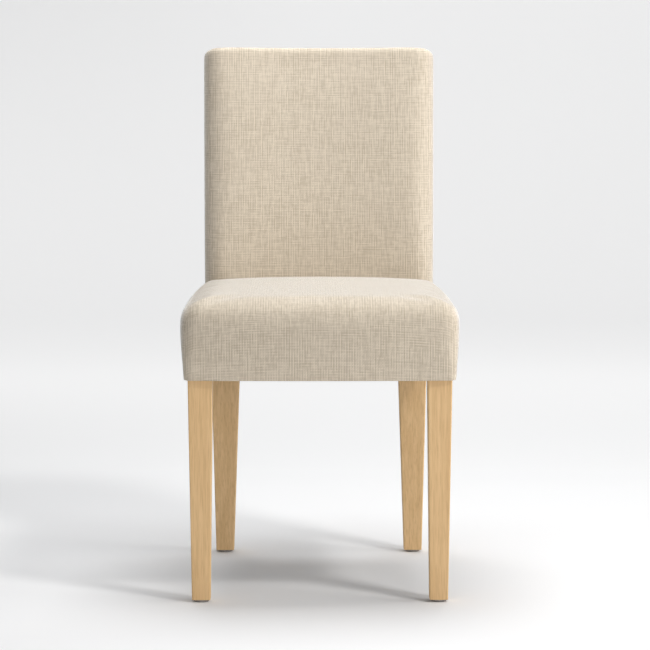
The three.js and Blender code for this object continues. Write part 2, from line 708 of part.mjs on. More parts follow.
// The outline of the back at a level, with its faces moved in by inset
function backRing(inset, outlineLevel, level) {
  const half = backHalf(outlineLevel) - inset;
  const run = Math.max(BACK_CORNER - inset, ARRIS);
  const depthRun = Math.max(BACK_CORNER_DEPTH - inset, ARRIS);
  const rearCorner = Math.max(BACK_REAR_CORNER - inset, ARRIS);
  const front = -BACK_PAD + inset;
  const rear = backRear(outlineLevel) - inset;
  const points = [];
  const arc = (x, depth, across, deep, from, steps) => {
    for (let i = 0; i <= steps; i += 1) {
      const angle = from + (Math.PI / 2) * (i / steps);
      points.push([x + across * Math.cos(angle), depth + deep * Math.sin(angle)]);
    }
  };
  arc(-half + run, front + depthRun, run, depthRun, Math.PI, BACK_CORNER_STEPS);
  for (let i = 1; i < BACK_STEPS; i += 1) {
    const x = mix(-half + run, half - run, i / BACK_STEPS);
    points.push([x, front + BACK_HOLLOW * (1 - (x / (half - run)) ** 2)]);
  }
  arc(half - run, front + depthRun, run, depthRun, -Math.PI / 2, BACK_CORNER_STEPS);
  arc(half - rearCorner, rear - rearCorner, rearCorner, rearCorner, 0, REAR_CORNER_STEPS);
  for (let i = 1; i < BACK_STEPS; i += 1) {
    const x = mix(half - rearCorner, -half + rearCorner, i / BACK_STEPS);
    points.push([x, rear + BACK_SWELL * (1 - (x / (half - rearCorner)) ** 2)]);
  }
  arc(-half + rearCorner, rear - rearCorner, rearCorner, rearCorner, Math.PI / 2, REAR_CORNER_STEPS);
  return points.map(([x, depth]) => onBack(x, depth, level));
}

function backForm(inset, bottom) {
  const edgeStart = backTop - BACK_TOP_EDGE;
  const rings = stationsOf(bottom, edgeStart).map((level) => backRing(inset, level, level));
  const radius = BACK_TOP_EDGE - inset;
  for (let i = 1; i <= EDGE_STEPS; i += 1) {
    const angle = (Math.PI / 2) * (i / EDGE_STEPS);
    rings.push(backRing(inset + radius * (1 - Math.cos(angle)), edgeStart, edgeStart + radius * Math.sin(angle)));
  }
  return loft(rings, "strip");
}

// A cutter that follows the lean, between two levels, two depths and the sides at +-half(level)
function backSlab(half, low, high, fromDepth, toDepth) {
  const ring = (level) => [
    onBack(-half(level), fromDepth(level), level),
    onBack(half(level), fromDepth(level), level),
    onBack(half(level), toDepth(level), level),
    onBack(-half(level), toDepth(level), level),
  ];
  return loft(stationsOf(low, high).map(ring));
}

// The frame's outline in plan as a tall prism, to keep the padding clear of rails and legs
function frameEnvelope(air, low, high) {
  const front = FRONT_LEG_SETBACK - air;
  const outline = [
    [FRONT_LEG_SPREAD / 2 + air, front],
    [FRONT_LEG_SPREAD / 2 + air, frontLegRear + air],
    [REAR_LEG_SPREAD / 2 + air, REAR_LEG_FRONT - air],
    [REAR_LEG_SPREAD / 2 + air, REAR_LEG_FRONT + REAR_LEG_DEPTH * 2],
  ];
  const left = outline.map(([x, y]) => [-x, y]).reverse();
  const shape = new THREE.Shape([...outline, ...left].map(([x, y]) => new THREE.Vector2(x, y)));
  const geometry = new THREE.ExtrudeGeometry(shape, { depth: high - low, bevelEnabled: false });
  geometry.translate(0, 0, low);
  return toSolid(geometry);
}

// Seat padding and cover

const coverTrim = backForm(-LAY, -OVERRUN);
const paddingTrim = backForm(-CLOTH - LAY, -OVERRUN);
const foamInset = CLOTH + SEAT_WADDING + LAY * 2;
const deckTop = deckHigh + LAY;

function seatFoam() {
  return seatForm(foamInset, deckTop).subtract(paddingTrim);
}

function seatWadding() {
  const frame = frameEnvelope(LAY, APRON_BOTTOM - OVERRUN, deckTop);
  const core = seatForm(foamInset - LAY, deckTop - LAY * 2);
  return seatForm(CLOTH + LAY, railBottom).subtract(frame).subtract(core).subtract(paddingTrim);
}

function seatCover() {
  const hollow = seatForm(CLOTH, APRON_BOTTOM + CLOTH);
  const opening = seatOutline(FOLD_UNDER, APRON_BOTTOM);
  const rings = [APRON_BOTTOM - OVERRUN, railBottom].map((z) => opening.map(([x, y]) => at(x, y, z)));
  const under = legEnvelopes(APRON_BOTTOM - OVERRUN, railBottom);
  return seatForm(0, APRON_BOTTOM).subtract(hollow).subtract(loft(rings)).subtract(under).subtract(coverTrim);
}

// The legs where they come out of the cloth, with a little air
function legEnvelopes(low, high) {
  const envelopes = [];
  for (const side of [-1, 1]) {
    const [left, right] = span(side * frontLegInner, (side * FRONT_LEG_SPREAD) / 2);
    const front = FRONT_LEG_SETBACK - LAY;
    envelopes.push(block(at(left - LAY, front, low), at(right + LAY, frontLegRear + LAY, high)));
    const [inner, outer] = span(side * rearLegInner, (side * REAR_LEG_SPREAD) / 2);
    const rear = REAR_LEG_FRONT + REAR_LEG_DEPTH + REAR_LEG_DEPTH;
    envelopes.push(block(at(inner - LAY, REAR_LEG_FRONT - LAY, low), at(outer + LAY, rear, high)));
  }
  return envelopes.reduce((sum, each) => sum.add(each));
}

// Back padding and cover

const backWaddingInset = CLOTH + LAY;
const backFoamInset = CLOTH + BACK_WADDING + LAY * 2;
const deckLevel = deckTop - APRON_BOTTOM + LAY;

function backFoam() {
  const level = deckLevel;
  const wide = () => SEAT_WIDTH;
  const behind = behindLining(level - OVERRUN, postTop + LAY);
  const rearCut = backSlab(wide, level - OVERRUN, backTop, (l) => postDepth(l), () => REAR_LEG_DEPTH * 2);
  return backForm(backFoamInset, level).subtract(behind).subtract(rearCut);
}

// All that lies behind the back's lining, up to a level
function behindLining(low, high) {
  const wide = SEAT_WIDTH;
  const ring = (level) => {
    const half = postOuter(level) - STRAP_END;
    const xs = Array.from({ length: LINING_STEPS + 1 }, (_, i) => mix(-half, half, i / LINING_STEPS));
    const depthAt = (x) => webbingDepth(x, level) - liningRear - HESSIAN - LAY;
    const front = xs.map((x) => onBack(x, depthAt(x), level));
    const points = [onBack(-wide, depthAt(half), level), ...front, onBack(wide, depthAt(half), level)];
    const rear = [-wide, ...xs, wide].map((x) => onBack(x, REAR_LEG_DEPTH * 2, level)).reverse();
    return [...points, ...rear];
  };
  return loft(stationsOf(low, high).map(ring), "strip");
}

function backWadding() {
  const level = deckLevel;
  const core = backForm(backFoamInset - LAY, level - OVERRUN);
  const wide = () => SEAT_WIDTH;
  const rear = backSlab(wide, 0, backTop * 2, (l) => postDepth(l) - FOLD_UNDER, () => REAR_LEG_DEPTH * 2);
  return backForm(backWaddingInset, level).subtract(core).subtract(rear);
}

const panelHalf = (level) => backHalf(level) - PANEL_MARGIN;
const panelHigh = backTop - PANEL_MARGIN;

function backCover() {
  const hollow = backForm(CLOTH, CLOTH);
  const panel = backSlab(panelHalf, -OVERRUN, panelHigh, () => 0, () => REAR_LEG_DEPTH * 2);
  const flange = (level) => backHalf(level) - SEAM_FLANGE;
  const mouth = backSlab(flange, -OVERRUN, deckLevel, () => -REAR_LEG_DEPTH, (l) => postDepth(l) / 2);
  const legs = legEnvelopes(APRON_BOTTOM - OVERRUN, railBottom);
  return backForm(0, 0).subtract(hollow).subtract(panel).subtract(mouth).subtract(legs);
}

function outsideBackPanel() {
  const half = (level) => panelHalf(level) - LAY;
  const keep = backSlab(half, 0, panelHigh - LAY, (l) => postDepth(l) + LAY, () => REAR_LEG_DEPTH * 2);
  return backForm(0, 0).intersect(keep);
}

// Dust cover, cut out round the legs

function dustCover() {
  const high = APRON_BOTTOM - LAY;
  const low = high - DUST_CLOTH;
  const outline = seatOutline(DUST_CLOTH_INSET - SEAT_HEM, APRON_BOTTOM);
  const rearY = REAR_LEG_FRONT + REAR_LEG_DEPTH - DUST_CLOTH_INSET;
  const rearX = REAR_LEG_SPREAD / 2;
  const shape = outline.map(([x, y]) => at(x, y, 0));
  const rings = [low, high].map((z) => shape.map((point) => at(point.x, point.y, z)));
  const tail = block(at(-rearX, seatRearEdge - OVERRUN, low), at(rearX, rearY, high));
  return loft(rings).add(tail).subtract(legEnvelopes(low - OVERRUN, high + OVERRUN));
}

// Glide: a moulded disc with its nail driven up into the foot, with its sole at the origin

const GLIDE_SIDES = 20;
function glideForm(grow) {
  const radius = GLIDE_DIAMETER / 2;
  const nail = GLIDE_NAIL / 2 + grow;
  const profile = [
    new THREE.Vector2(0, 0),
    new THREE.Vector2(radius - GLIDE_EDGE, 0),
    new THREE.Vector2(radius, GLIDE_EDGE),
    new THREE.Vector2(radius, GLIDE_HEIGHT - LAY),
    new THREE.Vector2(nail, GLIDE_HEIGHT - LAY),
    new THREE.Vector2(nail, GLIDE_HEIGHT + GLIDE_NAIL_LENGTH + grow),
    new THREE.Vector2(0, GLIDE_HEIGHT + GLIDE_NAIL_LENGTH + GLIDE_NAIL + grow),
  ];
  const geometry = new THREE.LatheGeometry(profile, GLIDE_SIDES);
  geometry.rotateX(Math.PI / 2);
  return toSolid(geometry);
}

const frontFootX = FRONT_LEG_SPREAD / 2 - FRONT_LEG_TUCK - FRONT_LEG_FOOT / 2;
const frontFootY = FRONT_LEG_SETBACK + FRONT_LEG_TOP / 2;
const rearFootX = REAR_LEG_SPREAD / 2 - REAR_LEG_TUCK - REAR_FOOT_WIDTH / 2;
const rearFootY = REAR_FOOT_FRONT + REAR_FOOT_DEPTH / 2;

// Assembly

const sides = [
  ["left", -1],
  ["right", 1],
];

const cutRails = { front: rail(frontRailEnds, acrossTrim(frontLegInner)) };
cutRails.rear = rail(rearRailEnds, acrossTrim(rearLegInner));

for (const [word, side] of sides) {
  const ends = sideRailEnds(side);
  let sideRail = rail(ends, sideTrim);
  let leg = frontLeg(side).subtract(mortises(...frontRailEnds)).subtract(mortises(...ends));
  let post = rearLeg(side).subtract(mortises(...rearRailEnds)).subtract(mortises(...ends));
  for (const [low, high] of backRailSpans) post = post.subtract(backTenons((low + high) / 2, TENON_LENGTH, GLUE_LINE));

  const corners = [
    ["front", frontLegInner, frontLegRear, frontRailLine + RAIL_THICKNESS / 2, 1],
    ["rear", rearLegInner, REAR_LEG_FRONT, rearRailLine - RAIL_THICKNESS / 2, -1],
  ];
  for (const [place, inner, legFace, railFace, inward] of corners) {
    let corner = cornerBlock(side, inner, legFace, railFace, inward);
    const half = BLOCK_REACH / 2;
    const farY = legFace + inward * BLOCK_REACH;
    const slope = (sideRailInner(farY) - inner + BLOCK_REACH) / (Math.abs(farY - railFace));
    const crossX = inner - half;
    const crossY = railFace + (inward * half) / slope;
    const sideY = legFace + inward * half;
    const sideX = inner - BLOCK_REACH + Math.abs(sideY - railFace) * slope;
    const screws = [
      ["cross", at(side * crossX, crossY - inward * SCREW_SINK, railMiddle + SCREW_STAGGER), at(0, -inward, 0)],
      ["side", at(side * (sideX + SCREW_SINK), sideY, railMiddle - SCREW_STAGGER), at(side, 0, 0)],
    ];
    for (const [rails, spot, direction] of screws) {
      const pocket = aimed(screwPocket(), spot, direction);
      corner = corner.subtract(pocket);
      if (rails === "cross") cutRails[place] = cutRails[place].subtract(pocket);
      else sideRail = sideRail.subtract(pocket);
      const screw = screwForm(0).subtract(screwSlot());
      addPiece(`block_screw_${place}_${word}_${rails}`, aimed(screw, spot, direction), steel);
    }
    addPiece(`corner_block_${place}_${word}`, corner, beech);
  }

  const feet = [
    ["front", at(side * frontFootX, frontFootY, 0)],
    ["rear", at(side * rearFootX, rearFootY, 0)],
  ];
  for (const [place, spot] of feet) {
    const glide = addPiece(`glide_${place}_${word}`, glideForm(0), nylon);
    glide.position.copy(spot);
    const hole = toSolid(toGeometry(glideForm(GLUE_LINE)).translate(...spot.toArray()));
    if (place === "front") leg = leg.subtract(hole);
    else post = post.subtract(hole);
  }
  addPiece(`front_leg_${word}`, leg, oak);
  addPiece(`rear_leg_${word}`, post, oak);
  addPiece(`side_rail_${word}`, sideRail, beech);
}
addPiece("front_rail", cutRails.front, beech);
addPiece("rear_rail", cutRails.rear, beech);
addPiece("lower_back_rail", backRail(lowerRailLow, lowerRailHigh), beech);
addPiece("crest_rail", backRail(crestLow, crestHigh), beech);

seatLongPlaces.forEach((x, i) => addPiece(`seat_strap_long_${i + 1}`, seatLongStrap(x, i), jute));
seatCrossPlaces.forEach((y, i) => addPiece(`seat_strap_cross_${i + 1}`, seatCrossStrap(y, i + 1), jute));
backUprightPlaces.forEach((x, i) => addPiece(`back_strap_upright_${i + 1}`, backUpright(x, i), jute));
backCrossPlaces.forEach((level, i) => addPiece(`back_strap_cross_${i + 1}`, backCross(level, i + 1), jute));

addPiece("deck_cloth", deckCloth(), hessian);
addPiece("back_lining", backLining(), hessian);
addPiece("seat_foam", seatFoam(), foam);
addPiece("back_foam", backFoam(), foam);
addPiece("seat_wadding", seatWadding(), wadding);
addPiece("back_wadding", backWadding(), wadding);
addPiece("seat_cover", seatCover(), linen);
addPiece("back_cover", backCover(), linen);
addPiece("outside_back_panel", outsideBackPanel(), linen);
addPiece("dust_cover", dustCover(), blackCloth);

// The origin lies on the floor, in the middle of the chair's length from front to rear.
const bounds = new THREE.Box3().setFromObject(chair);
chair.position.y = -(bounds.min.y + bounds.max.y) / 2;
chair.updateMatrixWorld(true);

export default chair;
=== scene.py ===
"""An upholstered dining chair in oatmeal linen on oak legs.

The legs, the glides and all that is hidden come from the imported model. The two cushions, the
cloth panel behind the back, every finish and the studio are made here.
"""

import json
import math

import bmesh
import bpy
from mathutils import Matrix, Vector

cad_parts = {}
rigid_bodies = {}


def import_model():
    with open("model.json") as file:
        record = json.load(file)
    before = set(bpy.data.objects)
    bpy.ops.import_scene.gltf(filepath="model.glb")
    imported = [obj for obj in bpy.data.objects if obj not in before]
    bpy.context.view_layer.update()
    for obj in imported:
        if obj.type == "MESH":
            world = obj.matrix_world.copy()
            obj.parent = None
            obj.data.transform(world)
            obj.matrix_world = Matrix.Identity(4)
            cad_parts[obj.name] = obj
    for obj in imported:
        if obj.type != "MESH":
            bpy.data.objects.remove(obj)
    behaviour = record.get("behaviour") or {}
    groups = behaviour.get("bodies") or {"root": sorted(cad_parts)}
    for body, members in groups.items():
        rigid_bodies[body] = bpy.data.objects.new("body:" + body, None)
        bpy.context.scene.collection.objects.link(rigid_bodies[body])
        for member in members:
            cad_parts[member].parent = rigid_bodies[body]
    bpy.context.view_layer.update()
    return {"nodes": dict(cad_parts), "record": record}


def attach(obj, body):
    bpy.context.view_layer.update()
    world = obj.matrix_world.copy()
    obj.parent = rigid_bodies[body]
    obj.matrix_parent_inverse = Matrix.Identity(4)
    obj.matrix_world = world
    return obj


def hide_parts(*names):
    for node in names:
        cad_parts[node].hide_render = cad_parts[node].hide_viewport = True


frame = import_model()

# Sizes are in metres. X runs to the right, Y from the front to the rear and Z up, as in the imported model

# How near a point, an edge or a level has to be to count as on a place
POINT_SLACK = 0.0004
EDGE_SLACK = 0.001
LEVEL_SLACK = 0.002

# The frame that the cushions sit on
LEG_LINE = 0.1697
RAIL_TOP = 0.459
DECK = 0.4632
POST_TOP = 0.5469
LEAN = math.radians(13)
LEAN_RADIUS = 0.76
LEAN_START = 0.077
LEAN_END = LEAN_START + LEAN_RADIUS * LEAN
LEANING_UP = Vector((0, math.sin(LEAN), math.cos(LEAN)))
LEAN_STEPS = 7
RISE_STEPS = 6

# The seat cushion
SEAT_FRONT = -0.2933
SEAT_REAR = LEG_LINE
SEAT_UNDERSIDE = 0.382
SEAT_TOP = 0.519
SEAT_CROWN = 0.0065
CROWN_LINE = 0.06
CROWN_HALF = 0.225
SEAT_CORNER_HALF = 0.236
SEAT_FRONT_HALF = 0.2375
SEAT_REAR_HALF = 0.2142
SIDE_DRAW_IN = 0.006
FRONT_DRAW_IN = 0.003
DRAW_POWER = 1.4
SEAT_CORNER = 0.04
HEM_CORNER = 0.012
EDGE_CORNER = 0.032
FRONT_BOW = 0.006
FRONT_BOW_HALF = 0.206
SIDE_BOW = 0.012
SIDE_BOW_REARWARD = 1.35
SIDE_BOW_FULLNESS = 0.8
SEAT_EDGE_START = 0.476
SEAT_EDGE = 0.038
SEAT_EDGE_STEPS = 9
SIDE_EDGE_SHARE = 0.4
FRONT_EDGE_SHARE = 1.25

# Where the seat's front face, its front corners, its turned edge and its flat top are picked
FRONT_FACE_ZONE = -0.28
FRONT_ZONE = -0.27
FRONT_EDGE_ZONE = -0.245
CORNER_ZONE_HALF = 0.187
CORNER_ZONE = -0.24
TOP_ZONE_HALF = 0.2
REAR_SIDE_ZONE = 0.1

# The back cushion: depths are from the legs' front line, and its top is measured up along the lean
BACK_HALF = 0.212
BACK_PAD = 0.026
BACK_REAR = 0.0473
BACK_TOP = 0.5725
BACK_START = 0.02
BACK_CORNER = 0.033
BACK_CORNER_DEPTH = 0.042
REAR_CORNER = 0.006
BACK_HOLLOW = 0.014
REAR_HOLLOW = 0.004
BACK_FLARE = 0.004
BACK_THINNING = 0.015
BACK_TOP_EDGE = 0.01
TOP_RISE = 0.0025
HOLLOW_POWER = 1.3

# Where the back's sides, the middle of its depth and its rear edges are picked
BACK_SIDE_ZONE = 0.21
MIDDLE_DEPTH = 0.02
REAR_EDGE_DEPTH = 0.04

# The cloth panel behind the back
PANEL_HALF = 0.199
PANEL_START = 0.004
PANEL_END = BACK_TOP - 0.0135
PANEL_INNER = 0.0453
PANEL_OUTER = 0.0471
PANEL_BOW = 0.0042
PANEL_FLARE = 0.02

# Covers: what is cut off below the hem, the grid of their points, and how far they swell
SPARE = 0.008
COVER_GRID = 0.0055
COVER_SWELL = 0.003
SWELL_FRAMES = 20

# Room inside the cushions for the frame, from below the hem up
ROOM_BASE = 0.36
SEAT_ROOM_HALF = 0.2245
SEAT_ROOM_REAR_HALF = 0.2
SEAT_ROOM_FRONT = -0.2786
SEAT_ROOM_REAR = 0.2
BACK_ROOM_HALF = 0.2016
BACK_ROOM_TOP_HALF = 0.2046
BACK_ROOM_FRONT = 0.0046
BACK_ROOM_REAR = 0.09
BACK_ROOM_CLEARANCE = 0.0004
RAILS_ROOM_HALF = 0.2035
RAILS_ROOM_FRONT = 0.12
RAILS_ROOM_REAR = 0.26

# Modelling by hand


def deselect():
    for thing in bpy.context.scene.objects:
        thing.select_set(False)


def block(name, low, high):
    """A box from one corner to the other, with its place in its mesh."""
    deselect()
    middle = [(a + b) / 2 for a, b in zip(low, high)]
    bpy.ops.mesh.primitive_cube_add(size=1, location=middle)
    piece = bpy.context.active_object
    piece.name = name
    piece.data.name = name
    piece.scale = [b - a for a, b in zip(low, high)]
    bpy.ops.object.transform_apply(location=True, rotation=True, scale=True)
    return piece


def take(piece):
    """Selects one piece alone and makes it the active one."""
    deselect()
    bpy.context.view_layer.objects.active = piece
    piece.select_set(True)


def open_mesh(piece):
    take(piece)
    bpy.ops.object.mode_set(mode="EDIT")


def close_mesh():
    bpy.ops.object.mode_set(mode="OBJECT")


def pick(piece, test, kind="VERT"):
    """Selects the points, edges or faces whose place and direction pass a test."""
    bpy.ops.mesh.select_mode(type=kind)
    mesh = bmesh.from_edit_mesh(piece.data)
    for items in (mesh.faces, mesh.edges, mesh.verts):
        for item in items:
            item.select = False
    if kind == "VERT":
        chosen = [v for v in mesh.verts if test(v.co)]
    elif kind == "EDGE":
        chosen = [e for e in mesh.edges if test(e.verts[0].co, e.verts[1].co)]
    else:
        chosen = [f for f in mesh.faces if test(f.calc_center_median(), f.normal)]
    for item in chosen:
        item.select_set(True)
    mesh.select_flush_mode()
    bmesh.update_edit_mesh(piece.data)


def cut(piece, point, normal):
    """Cuts the whole mesh on a plane and keeps both sides."""
    bpy.ops.mesh.select_all(action="SELECT")
    bpy.ops.mesh.bisect(plane_co=point, plane_no=normal)


def shift(offset):
    bpy.ops.transform.translate(value=offset)


def stretch(factors, centre):
    bpy.ops.transform.resize(value=factors, center_override=centre)


def finish_modifier(piece, kind, **settings):
    """Gives the piece a modifier and applies it."""
    take(piece)
    modifier = piece.modifiers.new(kind.title(), kind)
    for key, value in settings.items():
        setattr(modifier, key, value)
    bpy.ops.object.modifier_apply(modifier=modifier.name)


def near(a, b, slack=POINT_SLACK):
    return abs(a - b) < slack


def share(value, low, high):
    """How far a value is from low to high, from 0 to 1."""
    return min(max((value - low) / (high - low), 0), 1)


# The seat's padded block


def seat_block():
    seat = block(
        "seat_cushion",
        (-SEAT_CORNER_HALF, SEAT_FRONT, SEAT_UNDERSIDE - SPARE),
        (SEAT_CORNER_HALF, SEAT_REAR, SEAT_TOP),
    )
    open_mesh(seat)
    pick(seat, lambda p: near(p.y, SEAT_FRONT))
    stretch((SEAT_FRONT_HALF / SEAT_CORNER_HALF, 1, 1), (0, SEAT_FRONT, 0))
    pick(seat, lambda p: near(p.y, SEAT_REAR))
    stretch((SEAT_REAR_HALF / SEAT_CORNER_HALF, 1, 1), (0, SEAT_REAR, 0))

    # The sides draw in towards the underside
    levels = [SEAT_UNDERSIDE, 0.39, 0.4, 0.415, 0.435, 0.46, SEAT_EDGE_START]
    for level in levels:
        cut(seat, (0, 0, level), (0, 0, 1))
    front_at = {}
    half_at = {}
    for level in [SEAT_UNDERSIDE - SPARE, *levels, SEAT_TOP]:
        reach = share(level, SEAT_UNDERSIDE, SEAT_EDGE_START)
        draw = (1 - reach) ** DRAW_POWER
        across = (SEAT_CORNER_HALF - SIDE_DRAW_IN * draw) / SEAT_CORNER_HALF
        length = SEAT_REAR - SEAT_FRONT
        along = (length - FRONT_DRAW_IN * draw) / length
        pick(seat, lambda p: near(p.z, level))
        stretch((across, along, 1), (0, SEAT_REAR, level))
        front_at[level] = SEAT_REAR - length * along
        half_at[level] = SEAT_FRONT_HALF * across

    # Front corners, tighter towards the legs
    pick(
        seat,
        lambda a, b: abs(a.z - b.z) > EDGE_SLACK and max(a.y, b.y) < FRONT_FACE_ZONE,
        "EDGE",
    )
    bpy.ops.mesh.bevel(offset_type="OFFSET", offset=SEAT_CORNER, segments=8, profile=0.5)
    for level in front_at:
        reach = share(level, SEAT_UNDERSIDE, SEAT_EDGE_START)
        radius = HEM_CORNER + (EDGE_CORNER - HEM_CORNER) * reach
        keep = 1 if level == SEAT_TOP else radius / SEAT_CORNER
        for side in (-1, 1):
            corner = (side * half_at[level], front_at[level], level)
            pick(
                seat,
                lambda p: near(p.z, level, LEVEL_SLACK)
                and (Vector(corner) - p).length < SEAT_CORNER + 0.003
                and p.x * side > 0,
            )
            stretch((keep, keep, 1), corner)

    # The front bows out across its width
    columns = [-0.17, -0.12, -0.06, 0, 0.06, 0.12, 0.17]
    for x in columns:
        cut(seat, (x, 0, 0), (1, 0, 0))
    for x in columns:
        pick(seat, lambda p: near(p.x, x) and p.y < FRONT_ZONE)
        shift((0, FRONT_BOW * (x / FRONT_BOW_HALF) ** 2, 0))
    pick(seat, lambda p: abs(p.x) > CORNER_ZONE_HALF and p.y < CORNER_ZONE)
    shift((0, FRONT_BOW, 0))

    # The upper edge is rounded on three sides
    def inside(point):
        return abs(point.x) < TOP_ZONE_HALF and point.y > FRONT_ZONE

    def on_rim(a, b):
        high = near(a.z, SEAT_TOP) and near(b.z, SEAT_TOP)
        return high and not (inside(a) or inside(b))

    pick(seat, on_rim, "EDGE")
    bpy.ops.mesh.bevel(
        offset_type="OFFSET",
        offset=SEAT_EDGE,
        segments=SEAT_EDGE_STEPS,
        profile=0.5,
    )

    # The edge turns over more tightly at the rear of the sides, and more slowly in front
    for step in range(1, SEAT_EDGE_STEPS + 1):
        turn = math.sin(math.radians(step * 90 / SEAT_EDGE_STEPS))
        level = SEAT_TOP - SEAT_EDGE + SEAT_EDGE * turn
        for side in (-1, 1):
            pick(
                seat,
                lambda p: near(p.z, level)
                and p.x * side > SEAT_REAR_HALF - SEAT_EDGE - 0.003
                and p.y > REAR_SIDE_ZONE,
            )
            narrowed = 1 - (1 - SIDE_EDGE_SHARE) * turn
            stretch((narrowed, 1, 1), (side * SEAT_REAR_HALF, 0, level))
        pick(seat, lambda p: near(p.z, level) and p.y < FRONT_EDGE_ZONE)
        stretch((1, 1 + (FRONT_EDGE_SHARE - 1) * turn, 1), (0, SEAT_FRONT, level))

    # The top swells to its crown
    rows = [-0.21, -0.15, -0.09, -0.03, 0.03, 0.09, 0.13]
    for y in rows:
        cut(seat, (0, y, 0), (0, 1, 0))
    for x in columns:
        for y in [*rows, SEAT_REAR]:
            forward = max(CROWN_LINE - y, 0) / (CROWN_LINE - SEAT_FRONT - SEAT_EDGE)
            reach = (1 - (x / CROWN_HALF) ** 2) * (1 - forward**2)
            pick(seat, lambda p: near(p.x, x) and near(p.y, y) and p.z > SEAT_TOP - 0.0005)
            shift((0, 0, SEAT_CROWN * reach))

    # The sides bow out between the front and the back
    for y in rows:
        along = share(y, SEAT_FRONT, SEAT_REAR)
        half = SEAT_FRONT_HALF + (SEAT_REAR_HALF - SEAT_FRONT_HALF) * along
        bow = SIDE_BOW * math.sin(math.pi * along**SIDE_BOW_REARWARD) ** SIDE_BOW_FULLNESS
        pick(seat, lambda p: near(p.y, y))
        stretch(((half + bow) / half, 1, 1), (0, y, 0))
    close_mesh()
    return seat


# The line up the back: straight to the rails, round the lean, and straight on to the top


def on_back(along):
    """The place at a distance along the posts' front line."""
    lean = min(max((along - LEAN_START) / LEAN_RADIUS, 0), LEAN)
    straight = min(along, LEAN_START)
    beyond = max(along - LEAN_END, 0)
    height = SEAT_UNDERSIDE + straight + LEAN_RADIUS * math.sin(lean) + beyond * math.cos(LEAN)
    place = LEG_LINE + LEAN_RADIUS * (1 - math.cos(lean)) + beyond * math.sin(LEAN)
    return Vector((0, place, height))


def back_line(height):
    """The distance along the posts' front line at a height, and how far back the line is there."""
    climb = height - RAIL_TOP
    lean = math.asin(min(max(climb / LEAN_RADIUS, 0), math.sin(LEAN)))
    beyond = max(climb - LEAN_RADIUS * math.sin(LEAN), 0) / math.cos(LEAN)
    along = min(height - SEAT_UNDERSIDE, LEAN_START) + LEAN_RADIUS * lean + beyond
    base = LEG_LINE + LEAN_RADIUS * (1 - math.cos(lean)) + beyond * math.sin(LEAN)
    return along, base


def sweep_up(rise, steps):
    """Carries the chosen face round the lean and straight on up the back."""
    bpy.ops.mesh.spin(
        steps=LEAN_STEPS,
        angle=LEAN,
        center=(0, LEG_LINE + LEAN_RADIUS, RAIL_TOP),
        axis=(1, 0, 0),
    )
    step = LEANING_UP * (rise / steps)
    for _ in range(steps):
        bpy.ops.mesh.extrude_region_move(TRANSFORM_OT_translate={"value": step})


def levels_up(rise):
    """Each ring of points that a sweep makes: its distance along, its place and its two ways."""
    turns = [LEAN * i / LEAN_STEPS for i in range(LEAN_STEPS + 1)]
    stops = [(lean, LEAN_START + LEAN_RADIUS * lean) for lean in turns]
    for i in range(RISE_STEPS):
        stops.append((LEAN, LEAN_END + rise * (i + 1) / RISE_STEPS))
    for lean, along in stops:
        upward = Vector((0, math.sin(lean), math.cos(lean)))
        rearward = Vector((0, math.cos(lean), -math.sin(lean)))
        yield along, on_back(along), upward, rearward


# The back's padded block


